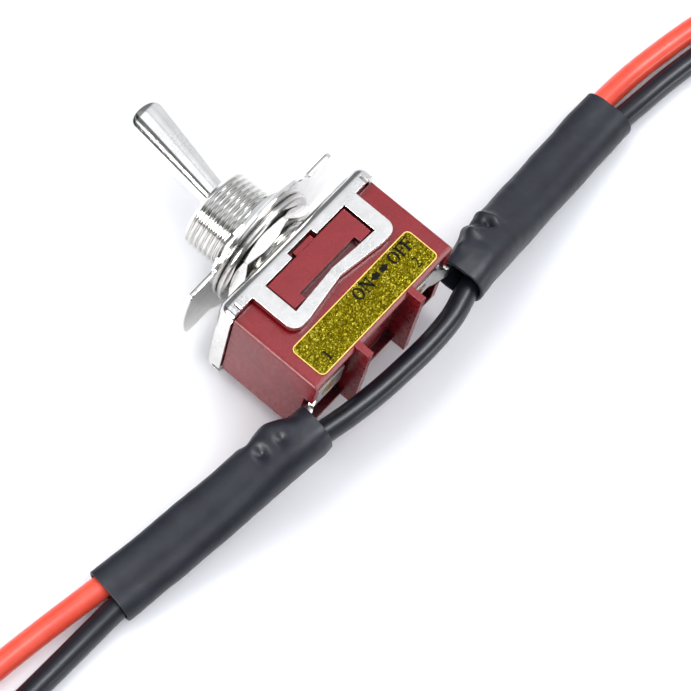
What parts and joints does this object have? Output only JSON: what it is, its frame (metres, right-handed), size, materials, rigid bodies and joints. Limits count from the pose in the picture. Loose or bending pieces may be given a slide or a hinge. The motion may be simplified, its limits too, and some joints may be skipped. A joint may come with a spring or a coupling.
{
  "type": "panel toggle switch",
  "caption": "Bushing-mounted metal-lever toggle switch with a moulded case, soldered terminals under heat-shrink sleeves, and a two-core lead on each side.",
  "frame": {"origin": "on the axis of the bushing, at the front face of the metal frame, where the bushing leaves it", "axes": "+Y along the bushing's axis towards the lever, +X along the length of the case towards the off side, +Z out of the labelled face, which looks up as the switch lies"},
  "size_m": [0.2241, 0.0616, 0.022],
  "materials": {
    "case_plastic": "red-brown moulded, satin",
    "bright_steel": "bright plated sheet",
    "insulation": "pressed board",
    "nickel_plate": "bright nickel",
    "plain_steel": "zinc plated",
    "plunger_plastic": "natural nylon",
    "contact_brass": "plain",
    "contact_silver": "silver faced",
    "terminal_plate": "tin plated",
    "label": "metallic gold-green foil",
    "solder": "bright solder",
    "shrink_sleeve": "matt heat-shrink tube",
    "red_insulation": "satin PVC",
    "black_insulation": "satin PVC",
    "tinned_strands": "tinned copper strands"
  },
  "bodies": {
    "switch_body": {"case": "case_plastic", "frame": "bright_steel", "insulating_sheet": "insulation", "bushing": "nickel_plate", "fulcrum_bracket": "contact_brass", "contact_bracket": "contact_brass", "fixed_contact": "contact_silver", "left_terminal": "terminal_plate", "right_terminal": "terminal_plate", "terminal_rivets": "contact_brass", "back_nut": "nickel_plate", "lock_washer": "plain_steel", "indicator_plate": "nickel_plate", "front_nut": "nickel_plate", "label_foil": "label", "left_solder": "solder", "right_solder": "solder", "left_sleeve": "shrink_sleeve", "right_sleeve": "shrink_sleeve", "left_red_lead": "red_insulation", "right_red_lead": "red_insulation", "black_lead": "black_insulation", "left_red_strands": "tinned_strands", "right_red_strands": "tinned_strands", "left_black_strands": "tinned_strands", "right_black_strands": "tinned_strands"},
    "lever_body": {"lever": "nickel_plate", "lever_pin": "plain_steel", "plunger_spring": "plain_steel"},
    "plunger_body": {"plunger": "plunger_plastic"},
    "rocker_body": {"rocker": "contact_brass", "moving_contact": "contact_silver"}
  },
  "joints": [
    {"name": "lever_tilt", "type": "hinge", "parent": "switch_body", "child": "lever_body", "pos_m": [0, 0.0038, 0], "axis": [0, 0, 1], "range_deg": [0, 18]},
    {"name": "plunger_slide", "type": "slide", "parent": "lever_body", "child": "plunger_body", "axis": [0.1564, 0.9877, 0], "range_m": [0, 0.0004], "stiffness_N_per_m": 1500, "springref_m": -0.0012, "deforming": ["plunger_spring"]},
    {"name": "rocker_tilt", "type": "hinge", "parent": "switch_body", "child": "rocker_body", "pos_m": [0, -0.0096, 0], "axis": [0, 0, 1], "range_deg": [-16, 0]}
  ],
  "couplings": [
    {"joint": "rocker_tilt", "follows": "lever_tilt", "ratio": -0.88889}
  ]
}
